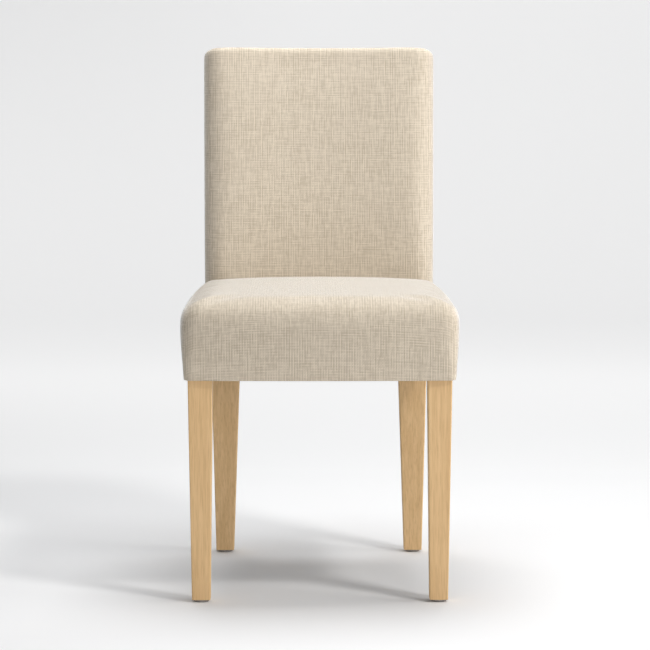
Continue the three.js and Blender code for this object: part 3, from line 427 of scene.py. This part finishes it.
def back_block():
    back = block(
        "back_cushion",
        (-BACK_HALF, LEG_LINE - BACK_PAD, SEAT_UNDERSIDE - SPARE),
        (BACK_HALF, LEG_LINE + BACK_REAR, SEAT_UNDERSIDE + BACK_START),
    )
    open_mesh(back)

    def upright(a, b):
        return abs(a.z - b.z) > EDGE_SLACK and abs(a.x) > BACK_SIDE_ZONE

    pick(back, lambda a, b: upright(a, b) and a.y < LEG_LINE, "EDGE")
    bpy.ops.mesh.bevel(offset_type="OFFSET", offset=BACK_CORNER, segments=9, profile=0.5)
    pick(back, lambda p: p.y < LEG_LINE + MIDDLE_DEPTH)
    stretch((1, BACK_CORNER_DEPTH / BACK_CORNER, 1), (0, LEG_LINE - BACK_PAD, 0))
    pick(back, lambda a, b: upright(a, b) and a.y > LEG_LINE + REAR_EDGE_DEPTH, "EDGE")
    bpy.ops.mesh.bevel(offset_type="OFFSET", offset=REAR_CORNER, segments=3, profile=0.5)

    # The face is hollow across its width, and so is the rear
    half_columns = [0.03, 0.06, 0.09, 0.12, 0.145, 0.165]
    columns = [*(-x for x in reversed(half_columns)), 0, *half_columns]
    flat_half = BACK_HALF - BACK_CORNER
    for x in columns:
        cut(back, (x, 0, 0), (1, 0, 0))
    for x in columns:
        reach = (1 - (x / flat_half) ** 2) ** HOLLOW_POWER
        pick(back, lambda p: near(p.x, x) and p.y < LEG_LINE)
        shift((0, BACK_HOLLOW * reach, 0))
        pick(back, lambda p: near(p.x, x) and p.y > LEG_LINE)
        shift((0, REAR_HOLLOW * reach, 0))
    pick(back, lambda c, n: n.z > 0.9, "FACE")
    straight = RAIL_TOP - (SEAT_UNDERSIDE + BACK_START)
    bpy.ops.mesh.extrude_region_move(TRANSFORM_OT_translate={"value": (0, 0, straight)})
    rise = BACK_TOP - LEAN_END
    sweep_up(rise, RISE_STEPS)

    # The sides go out a little and the rear comes forward towards the top
    for along, place, upward, rearward in levels_up(rise):

        def at_level(point):
            return abs((point - place).dot(upward)) < LEVEL_SLACK

        flare = (BACK_HALF + BACK_FLARE * share(along, LEAN_START, BACK_TOP)) / BACK_HALF
        pick(back, at_level)
        stretch((flare, 1, 1), place)
        pick(back, lambda p: at_level(p) and (p - place).dot(rearward) > MIDDLE_DEPTH)
        thinner = BACK_THINNING * share(along, LEAN_START, POST_TOP)
        shift(-rearward * thinner)

    top = on_back(BACK_TOP)

    def above_top(point):
        return (point - top).dot(LEANING_UP)

    def on_rim(a, b):
        high = abs(above_top(a)) < EDGE_SLACK and abs(above_top(b)) < EDGE_SLACK
        across = abs(a.x - b.x) < EDGE_SLACK and abs(a.x) < TOP_ZONE_HALF
        return high and not across

    pick(back, on_rim, "EDGE")
    bpy.ops.mesh.bevel(offset_type="OFFSET", offset=BACK_TOP_EDGE, segments=6, profile=0.5)

    # The top edge is a little higher in the middle
    for x in columns:
        at_top = x * (BACK_HALF + BACK_FLARE) / BACK_HALF
        pick(back, lambda p: near(p.x, at_top) and above_top(p) > -BACK_TOP_EDGE)
        shift(LEANING_UP * TOP_RISE * (1 - (x / BACK_HALF) ** 2))
    close_mesh()
    return back


# Padding that swells against its cover


def swell(piece, held, pressure):
    """Blows the cover out a little with a cloth simulation, except where it is held."""
    finish_modifier(piece, "REMESH", mode="VOXEL", voxel_size=COVER_GRID, use_smooth_shade=True)
    rest = [v.co.copy() for v in piece.data.vertices]
    group = piece.vertex_groups.new(name="held")
    for v in piece.data.vertices:
        group.add([v.index], held(v.co), "REPLACE")
    take(piece)
    cloth = piece.modifiers.new("Cover", "CLOTH")
    cloth.settings.quality = 4
    cloth.settings.mass = 0.3
    cloth.settings.tension_stiffness = 25
    cloth.settings.compression_stiffness = 25
    cloth.settings.shear_stiffness = 10
    cloth.settings.bending_stiffness = 12
    cloth.settings.use_pressure = True
    cloth.settings.uniform_pressure_force = pressure
    cloth.settings.vertex_group_mass = "held"
    cloth.settings.effector_weights.gravity = 0
    cloth.collision_settings.use_collision = False
    for number in range(1, SWELL_FRAMES + 1):
        bpy.context.scene.frame_set(number)
    bpy.ops.object.modifier_apply(modifier=cloth.name)
    bpy.context.scene.frame_set(1)
    for v, start in zip(piece.data.vertices, rest):
        move = v.co - start
        far = move.length
        if far > 0:
            v.co = start + move * (COVER_SWELL * math.tanh(far / COVER_SWELL) / far)
    piece.vertex_groups.clear()
    finish_modifier(piece, "SMOOTH", factor=0.5, iterations=7)
    finish_modifier(piece, "SUBSURF", levels=1, render_levels=1)


def trim_below(piece, level):
    """Cuts the piece off flat and crisp at a level."""
    open_mesh(piece)
    bpy.ops.mesh.select_all(action="SELECT")
    bpy.ops.mesh.bisect(plane_co=(0, 0, level), plane_no=(0, 0, 1), use_fill=True, clear_inner=True)
    close_mesh()


def carve(piece, tool):
    """Takes the tool's space out of the piece."""
    finish_modifier(piece, "BOOLEAN", operation="DIFFERENCE", object=tool, solver="EXACT")


def drop(piece):
    bpy.data.objects.remove(piece, do_unlink=True)


def seat_frame_room():
    """The room of the rails, legs and webbing under the seat's padding."""
    room = block(
        "seat_room",
        (-SEAT_ROOM_HALF, SEAT_ROOM_FRONT, ROOM_BASE),
        (SEAT_ROOM_HALF, SEAT_ROOM_REAR, DECK),
    )
    open_mesh(room)
    pick(room, lambda p: p.y > 0)
    stretch((SEAT_ROOM_REAR_HALF / SEAT_ROOM_HALF, 1, 1), (0, SEAT_ROOM_REAR, 0))
    close_mesh()
    return room


def back_frame_room():
    """The room of the posts, the back's rails and its webbing, open to the rear."""
    room = block(
        "back_room",
        (-BACK_ROOM_HALF, LEG_LINE - BACK_ROOM_FRONT, ROOM_BASE),
        (BACK_ROOM_HALF, LEG_LINE + BACK_ROOM_REAR, SEAT_UNDERSIDE),
    )
    open_mesh(room)
    pick(room, lambda c, n: n.z > 0.9, "FACE")
    bpy.ops.mesh.extrude_region_move(TRANSFORM_OT_translate={"value": (0, 0, LEAN_START)})
    sweep_up(POST_TOP + BACK_ROOM_CLEARANCE - LEAN_END, 1)
    top = on_back(POST_TOP)
    pick(room, lambda p: abs((p - top).dot(LEANING_UP)) < LEVEL_SLACK)
    stretch((BACK_ROOM_TOP_HALF / BACK_ROOM_HALF, 1, 1), top)
    close_mesh()
    return room


# Cloth on its own map: across and along each panel, in metres


def cloth_map(piece, place_on):
    layer = piece.data.uv_layers.new(name="cloth")
    for face in piece.data.polygons:
        for corner in face.loop_indices:
            co = piece.data.vertices[piece.data.loops[corner].vertex_index].co
            layer.data[corner].uv = place_on(co, face.normal)


def seat_place(co, normal):
    if abs(normal.x) > abs(normal.y) and abs(normal.x) > abs(normal.z):
        return (co.y + 3, co.z)
    return (co.x, co.z + co.y)


def back_place(co, normal):
    along, base = back_line(co.z)
    if abs(normal.x) > 0.7:
        return (co.y - base + 5, along + 1)
    if normal.z > 0.7:
        return (co.x, along + co.y - base + 1)
    return (co.x, along + 1)


# Finishes


class Wire:
    """A socket in a finish, which takes part in sums as a number would."""

    def __init__(self, finish, socket):
        self.finish = finish
        self.socket = socket

    def sum(self, operation, *parts):
        return self.finish.maths(operation, *parts)

    def __add__(self, other):
        return self.sum("ADD", self, other)

    def __radd__(self, other):
        return self.sum("ADD", other, self)

    def __sub__(self, other):
        return self.sum("SUBTRACT", self, other)

    def __rsub__(self, other):
        return self.sum("SUBTRACT", other, self)

    def __mul__(self, other):
        return self.sum("MULTIPLY", self, other)

    def __rmul__(self, other):
        return self.sum("MULTIPLY", other, self)

    def __truediv__(self, other):
        return self.sum("DIVIDE", self, other)


class Finish:
    """A material whose nodes are written as calls and sums."""

    def __init__(self, name, **constants):
        self.material = bpy.data.materials.new(name)
        self.material.use_nodes = True
        self.tree = self.material.node_tree
        self.shader = self.tree.nodes["Principled BSDF"]
        for key, value in constants.items():
            self.shader.inputs[key.replace("_", " ")].default_value = value

    def node(self, kind, settings=None, inputs=(), output=0):
        """Adds a node, with its settings first and then the values or links of its inputs."""
        made = self.tree.nodes.new(kind)
        for key, value in (settings or {}).items():
            setattr(made, key, value)
        pairs = inputs.items() if isinstance(inputs, dict) else enumerate(inputs)
        for key, value in pairs:
            self.put(made.inputs[key], value)
        return Wire(self, made.outputs[output])

    def outputs(self, kind, inputs=()):
        """Adds a node and gives all its outputs by name."""
        first = self.node(kind, inputs=inputs)
        return {socket.name: Wire(self, socket) for socket in first.socket.node.outputs}

    def maths(self, operation, *parts):
        return self.node("ShaderNodeMath", {"operation": operation}, parts)

    def put(self, socket, value):
        if isinstance(value, Wire):
            self.tree.links.new(value.socket, socket)
        elif socket.type == "RGBA":
            socket.default_value = (*value, 1)
        else:
            socket.default_value = value

    def feed(self, **links):
        """Gives the shader's inputs their links."""
        for key, value in links.items():
            self.put(self.shader.inputs[key.replace("_", " ")], value)

    def place(self):
        return self.node("ShaderNodeTexCoord", output="Object")

    def noise(self, vector, scale, detail):
        return self.node(
            "ShaderNodeTexNoise",
            inputs={"Vector": vector, "Scale": scale, "Detail": detail},
        )

    def scaled(self, vector, factors):
        return self.node("ShaderNodeVectorMath", {"operation": "MULTIPLY"}, (vector, factors))

    def blend(self, amount, first, second):
        return self.node(
            "ShaderNodeMix",
            {"data_type": "RGBA"},
            {0: amount, 6: first, 7: second},
            output=2,
        )

    def ramp(self, value, low, high):
        return self.node(
            "ShaderNodeMapRange",
            {"interpolation_type": "SMOOTHSTEP"},
            {"Value": value, "From Min": low, "From Max": high},
        )

    def bump(self, height, distance, strength):
        return self.node(
            "ShaderNodeBump",
            inputs={"Height": height, "Distance": distance, "Strength": strength},
        )


# One yarn of the linen, and how far it wanders
YARN = 0.0022
YARN_DRIFT = 0.0004


def linen():
    """Plain weave of uneven yarns, each with a tone of its own that changes along it, and painted shade in
    the hollows between yarns.
    """
    finish = Finish("linen_weave", Sheen_Weight=1.0, Sheen_Roughness=0.3, Specular_IOR_Level=0.4)
    cloth = finish.node("ShaderNodeUVMap", {"uv_map": "cloth"})
    axes = finish.outputs("ShaderNodeSeparateXYZ", (cloth,))
    across = axes["X"]
    along = axes["Y"]
    drift = finish.noise(cloth, 30, 2) - 0.5
    warp = (across + drift * YARN_DRIFT) / YARN
    weft = (along + drift * YARN_DRIFT) / YARN
    warp_round = finish.maths("PINGPONG", warp, 0.5) * 2
    weft_round = finish.maths("PINGPONG", weft, 0.5) * 2
    warp_turn = finish.maths("FLOOR", warp)
    weft_turn = finish.maths("FLOOR", weft)
    over = finish.maths("FLOORED_MODULO", warp_turn + weft_turn, 2)

    def yarn_tone(turn, way, apart):
        """Every second yarn is paler, by patches, and each has a tone of its own."""
        spot = finish.node("ShaderNodeCombineXYZ", inputs=(turn * 7.31, way * 40, apart))
        own = finish.ramp(finish.noise(spot, 1, 2), 0.34, 0.66)
        second = finish.maths("FLOORED_MODULO", turn, 2) - 0.5
        patch = finish.node("ShaderNodeCombineXYZ", inputs=(turn * 0.21, way * 32, apart + 5))
        strength = finish.ramp(finish.noise(patch, 1, 2), 0.36, 0.6)
        return 0.5 + second * (0.1 + strength * 0.75) + (own - 0.5) * 0.8

    slub_up = yarn_tone(warp_turn, along, 0.4)
    slub_level = yarn_tone(weft_turn, across, 9.4)
    warp_height = warp_round * (0.6 + slub_up * 0.6) * over
    weft_height = weft_round * (0.6 + slub_level * 0.6) * (1 - over)
    height = warp_height + weft_height

    fleck = finish.noise(cloth, 900, 1)
    # The weave's height also paints the hollows between and under the yarns darker: painted shade.
    tone = slub_up * 0.34 + slub_level * 0.22 + height * 0.25 + fleck * 0.15
    dark_yarn = (0.445, 0.378, 0.29)
    pale_yarn = (0.65, 0.572, 0.463)
    clouded = (0.55, 0.475, 0.39)
    base = finish.blend(finish.ramp(tone, 0.02, 0.9), dark_yarn, pale_yarn)
    cloud = finish.ramp(finish.noise(cloth, 9, 3), 0.35, 0.7)
    tinted = finish.blend(cloud * 0.2, base, clouded)
    finish.feed(
        Base_Color=tinted,
        Roughness=0.86 + fleck * 0.1,
        Normal=finish.bump(height + fleck * 0.3, 0.0005, 0.4),
    )
    return finish.material


def oak():
    """Light natural oak with soft bands, short streaks and fine straight pores."""
    finish = Finish("natural_oak", Specular_IOR_Level=0.4)
    place = finish.place()
    wander = finish.noise(finish.scaled(place, (3, 3, 1.2)), 1, 1) - 0.5
    axes = finish.outputs("ShaderNodeSeparateXYZ", (place,))
    x = axes["X"] + wander * 0.012
    y = axes["Y"] + wander * 0.012
    z = axes["Z"]

    def grain(across, along):
        """Noise drawn out along the wood, with so many turns to a metre each way."""
        stretched = (x * across, y * across, z * along)
        return finish.noise(finish.node("ShaderNodeCombineXYZ", inputs=stretched), 1, 2)

    dark_band = (0.635, 0.415, 0.2)
    pale_band = (0.71, 0.48, 0.245)
    streak = (0.5, 0.305, 0.135)
    pore = (0.42, 0.25, 0.115)
    pores = grain(900, 14)
    dark = finish.ramp(pores, 0.56, 0.72)
    streaks = finish.ramp(grain(430, 24), 0.46, 0.68)
    tint = finish.blend(finish.ramp(grain(160, 2.4), 0.3, 0.7), dark_band, pale_band)
    streaked = finish.blend(streaks * 0.42, tint, streak)
    finish.feed(
        Base_Color=finish.blend(dark * 0.35, streaked, pore),
        Roughness=0.42 + pores * 0.16,
        Normal=finish.bump(1 - dark, 0.0002, 0.35),
    )
    return finish.material


def plain_wood():
    """Sawn beech with short flecks."""
    finish = Finish("sawn_beech", Specular_IOR_Level=0.3)
    place = finish.place()
    flecks = finish.noise(finish.scaled(place, (180, 700, 700)), 1, 1)
    bands = finish.noise(finish.scaled(place, (14, 60, 60)), 1, 3)
    tint = finish.blend(finish.ramp(bands, 0.3, 0.7), (0.62, 0.46, 0.30), (0.78, 0.63, 0.45))
    finish.feed(
        Base_Color=finish.blend(finish.ramp(flecks, 0.58, 0.7) * 0.4, tint, (0.45, 0.28, 0.15)),
        Roughness=0.6 + flecks * 0.2,
        Normal=finish.bump(flecks, 0.0002, 0.4),
    )
    return finish.material


def plated_steel():
    """Zinc plate with fine scratches."""
    finish = Finish("plated_steel", Metallic=1.0)
    scratch = finish.noise(finish.place(), 900, 3)
    finish.feed(
        Base_Color=finish.blend(scratch, (0.50, 0.50, 0.50), (0.68, 0.69, 0.71)),
        Roughness=0.28 + scratch * 0.2,
    )
    return finish.material


def nylon():
    """Grey moulded nylon, scuffed by the floor."""
    finish = Finish("moulded_nylon", Specular_IOR_Level=0.4)
    scuff = finish.noise(finish.place(), 420, 4)
    finish.feed(
        Base_Color=finish.blend(finish.ramp(scuff, 0.4, 0.7), (0.22, 0.205, 0.19), (0.34, 0.32, 0.30)),
        Roughness=0.45 + scuff * 0.25,
        Normal=finish.bump(scuff, 0.0002, 0.3),
    )
    return finish.material


def jute_weave(name, pitch, dark, light):
    """Coarse jute, woven on the piece's own place."""
    finish = Finish(name, Specular_IOR_Level=0.2)
    place = finish.place()
    cells = finish.node(
        "ShaderNodeTexVoronoi",
        {"feature": "F1", "distance": "CHEBYCHEV"},
        {"Vector": place, "Scale": 1 / pitch, "Randomness": 0.25},
        output="Distance",
    )
    fibre = finish.noise(place, 1400, 3)
    finish.feed(
        Base_Color=finish.blend(fibre * 0.6 + (1 - cells) * 0.4, dark, light),
        Roughness=0.85 + fibre * 0.1,
        Normal=finish.bump((1 - cells) + fibre * 0.4, 0.0006, 0.8),
    )
    return finish.material


def soft_filling(name, dark, light):
    """Foam or fibre, with a fine soft grain."""
    finish = Finish(name, Specular_IOR_Level=0.2)
    grain = finish.noise(finish.place(), 500, 4)
    finish.feed(
        Base_Color=finish.blend(grain, dark, light),
        Roughness=0.88 + grain * 0.1,
        Normal=finish.bump(grain, 0.0008, 0.6),
    )
    return finish.material


def non_woven():
    """Black non-woven cloth with rows of pressed points."""
    finish = Finish("non_woven", Specular_IOR_Level=0.25)
    place = finish.place()
    points = finish.node(
        "ShaderNodeTexVoronoi",
        {"feature": "F1"},
        {"Vector": place, "Scale": 520, "Randomness": 0.0},
        output="Distance",
    )
    fibre = finish.noise(place, 1700, 3)
    pressed = finish.ramp(points, 0.12, 0.3)
    finish.feed(
        Base_Color=finish.blend(fibre, (0.017, 0.017, 0.018), (0.055, 0.054, 0.053)),
        Roughness=0.7 + fibre * 0.2,
        Normal=finish.bump(pressed + fibre * 0.5, 0.0003, 0.6),
    )
    return finish.material


finishes = {
    "oak": oak(),
    "frame_wood": plain_wood(),
    "screw_steel": plated_steel(),
    "glide_nylon": nylon(),
    "webbing": jute_weave("jute_webbing", 0.0022, (0.30, 0.20, 0.10), (0.60, 0.46, 0.28)),
    "hessian": jute_weave("jute_hessian", 0.0016, (0.34, 0.25, 0.14), (0.62, 0.50, 0.32)),
    "foam": soft_filling("cut_foam", (0.76, 0.68, 0.44), (0.90, 0.83, 0.60)),
    "wadding": soft_filling("fibre_wadding", (0.78, 0.78, 0.75), (0.93, 0.93, 0.90)),
    "linen": linen(),
    "dust_cloth": non_woven(),
}
for entry in frame["record"]["subparts"]:
    node = frame["nodes"][entry["node"]]
    node.data.materials.clear()
    node.data.materials.append(finishes[entry["material_slot"]])


def dress(piece, slot):
    """Gives a piece the finish of its slot and the body that it rides on."""
    piece.data.materials.clear()
    piece.data.materials.append(finishes[slot])
    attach(piece, "root")


# Make the upholstery


def seat_hold(co):
    """Holds the seat's hem and the end that the back covers."""
    low = 1 - share(co.z, 0.385, 0.42)
    rear = share(co.y, 0.10, 0.15)
    return max(low, rear)


def back_hold(co):
    """Holds the back's hem, its top and its rear."""
    _, base = back_line(co.z)
    rear = share(co.y - base, 0.005, 0.03)
    low = 1 - share(co.z, 0.40, 0.46)
    high = share(co.z, 0.9, 0.93)
    return max(rear, low, high)


seat = seat_block()
back = back_block()
swell(seat, seat_hold, 1.6)
swell(back, back_hold, 1.2)
for piece in (seat, back):
    trim_below(piece, SEAT_UNDERSIDE)
carve(seat, back)
room = seat_frame_room()
carve(seat, room)
room_of_back = back_frame_room()
carve(back, room_of_back)
rails_room = block(
    "rails_room",
    (-RAILS_ROOM_HALF, RAILS_ROOM_FRONT, ROOM_BASE),
    (RAILS_ROOM_HALF, RAILS_ROOM_REAR, DECK),
)
carve(back, rails_room)
for tool in (room, room_of_back, rails_room):
    drop(tool)
cloth_map(seat, seat_place)
cloth_map(back, back_place)
dress(seat, "linen")
dress(back, "linen")
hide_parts("seat_cover", "seat_wadding", "seat_foam")
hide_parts("back_cover", "back_wadding", "back_foam")


def outside_back():
    """The cloth panel that closes the rear of the back, bowed over the posts."""
    panel = block(
        "outside_back",
        (-PANEL_HALF, LEG_LINE + PANEL_INNER, SEAT_UNDERSIDE + PANEL_START),
        (PANEL_HALF, LEG_LINE + PANEL_OUTER, SEAT_UNDERSIDE + LEAN_START),
    )
    open_mesh(panel)
    columns = [-0.17, -0.14, -0.1, -0.05, 0, 0.05, 0.1, 0.14, 0.17]
    for x in columns:
        cut(panel, (x, 0, 0), (1, 0, 0))
    for x in columns:
        pick(panel, lambda p: near(p.x, x))
        shift((0, PANEL_BOW * (1 - (x / PANEL_HALF) ** 2), 0))
    pick(panel, lambda c, n: n.z > 0.9, "FACE")
    rise = PANEL_END - LEAN_END
    sweep_up(rise, RISE_STEPS)
    for along, place, upward, rearward in levels_up(rise):
        pick(panel, lambda p: abs((p - place).dot(upward)) < LEVEL_SLACK)
        stretch((1 + PANEL_FLARE * share(along, LEAN_START, BACK_TOP), 1, 1), place)
        shift(-rearward * BACK_THINNING * share(along, LEAN_START, POST_TOP))
    close_mesh()
    finish_modifier(panel, "BEVEL", width=0.0006, segments=2, limit_method="ANGLE")
    finish_modifier(panel, "SUBSURF", levels=2, render_levels=2)
    return panel


panel = outside_back()
cloth_map(panel, back_place)
dress(panel, "linen")
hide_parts("outside_back_panel")

for piece in (seat, back, panel):
    take(piece)
    bpy.ops.object.shade_smooth_by_angle(angle=math.radians(50))


# Studio

FLOOR_WIDTH = 9
FLOOR_MIDDLE = 0.5
FLOOR_REAR = FLOOR_MIDDLE + FLOOR_WIDTH / 2
BACKDROP_RADIUS = 2.5
BACKDROP_TURN = math.radians(80)
WARM = (1.0, 0.985, 0.965)
PALE = (1.0, 0.99, 0.98)
COOL = (0.98, 0.99, 1.0)
CAMERA_PLACE = (-0.0186, -4.6937, 0.8887)
CAMERA_DIP = math.radians(5.34)
CAMERA_TURN = math.radians(-0.35)


def lamp(name, place, aim, size, power, colour):
    """A square soft light, pointed at a place."""
    light = bpy.data.lights.new(name, "AREA")
    light.shape = "SQUARE"
    light.size = size
    light.energy = power
    light.color = colour
    holder = bpy.data.objects.new(name, light)
    bpy.context.scene.collection.objects.link(holder)
    holder.location = place
    way = Vector(aim) - Vector(place)
    holder.rotation_euler = way.to_track_quat("-Z", "Y").to_euler()


def backdrop():
    """A pale floor that curves up behind the chair, with a glow for the camera, gloss and glass."""
    deselect()
    bpy.ops.mesh.primitive_plane_add(size=1, location=(0, FLOOR_MIDDLE, 0))
    floor = bpy.context.active_object
    floor.name = "floor"
    floor.scale = (FLOOR_WIDTH, FLOOR_WIDTH, 1)
    bpy.ops.object.transform_apply(location=True, rotation=True, scale=True)
    open_mesh(floor)
    pick(floor, lambda a, b: a.y > FLOOR_REAR - 0.1 and b.y > FLOOR_REAR - 0.1, "EDGE")
    bpy.ops.mesh.spin(
        steps=16,
        angle=-BACKDROP_TURN,
        center=(0, FLOOR_REAR, BACKDROP_RADIUS),
        axis=(1, 0, 0),
    )
    bpy.ops.mesh.extrude_edges_move(TRANSFORM_OT_translate={"value": (0, 0.4, 3)})
    close_mesh()
    bpy.ops.object.shade_smooth()
    paper = Finish("pale_paper", Roughness=0.95, Specular_IOR_Level=0.1, Emission_Strength=1.0)
    place = paper.place()
    axes = paper.outputs("ShaderNodeSeparateXYZ", (place,))
    rays = paper.outputs("ShaderNodeLightPath")
    seen = rays["Is Camera Ray"] + rays["Is Glossy Ray"] + rays["Is Transmission Ray"]
    # The glow is painted light: weak near the chair and growing towards the rear, and higher up it is
    # brighter to the right than to the left.
    rearward = paper.ramp(axes["Y"], 0.0, 3.4)
    slant = (paper.ramp(axes["X"], -2.0, 2.0) - 0.5) * paper.ramp(axes["Z"], 0.2, 2.2)
    glow = (0.04 + rearward * 0.96) * (1 + slant * 0.45)
    tone = paper.noise(place, 0.4, 1)
    paper.feed(
        Base_Color=paper.blend(tone, (0.80, 0.80, 0.805), (0.84, 0.84, 0.845)),
        Emission_Color=paper.blend(glow * seen, (0.0, 0.0, 0.0), (0.53, 0.53, 0.53)),
    )
    floor.data.materials.append(paper.material)


def surroundings():
    """Dim even light from all round, which the camera, gloss and glass see as pale grey."""
    world = bpy.data.worlds.new("studio")
    world.use_nodes = True
    nodes = world.node_tree.nodes
    sky = nodes["Background"]
    sky.inputs["Color"].default_value = (*COOL, 1)
    rays = nodes.new("ShaderNodeLightPath")
    with_glossy = nodes.new("ShaderNodeMath")
    with_clear = nodes.new("ShaderNodeMath")
    strength = nodes.new("ShaderNodeMapRange")
    join = world.node_tree.links.new
    join(rays.outputs["Is Camera Ray"], with_glossy.inputs[0])
    join(rays.outputs["Is Glossy Ray"], with_glossy.inputs[1])
    join(with_glossy.outputs[0], with_clear.inputs[0])
    join(rays.outputs["Is Transmission Ray"], with_clear.inputs[1])
    join(with_clear.outputs[0], strength.inputs["Value"])
    strength.inputs["To Min"].default_value = 0.28
    strength.inputs["To Max"].default_value = 0.8
    join(strength.outputs[0], sky.inputs["Strength"])
    bpy.context.scene.world = world


def lamps():
    legs = (0, 0, 0.4)
    seat_height = (0, 0, 0.5)
    lamp("key", (1.75, -1.75, 3.1), aim=legs, size=0.52, power=45, colour=WARM)
    lamp("side", (3.2, -0.5, 1.1), aim=seat_height, size=1.8, power=56, colour=PALE)
    lamp("front", (1.0, -4.4, 0.7), aim=legs, size=1.6, power=42, colour=PALE)
    lamp("overhead", (0, 0.3, 2.2), aim=seat_height, size=1.2, power=30, colour=COOL)


def camera():
    lens = bpy.data.cameras.new("camera")
    lens.lens = 145.67
    lens.sensor_width = 36
    lens.clip_end = 60
    holder = bpy.data.objects.new("camera", lens)
    bpy.context.scene.collection.objects.link(holder)
    holder.location = CAMERA_PLACE
    holder.rotation_euler = (math.radians(90) - CAMERA_DIP, 0, CAMERA_TURN)
    bpy.context.scene.camera = holder


backdrop()
surroundings()
lamps()
camera()
bpy.context.scene.view_settings.view_transform = "Standard"
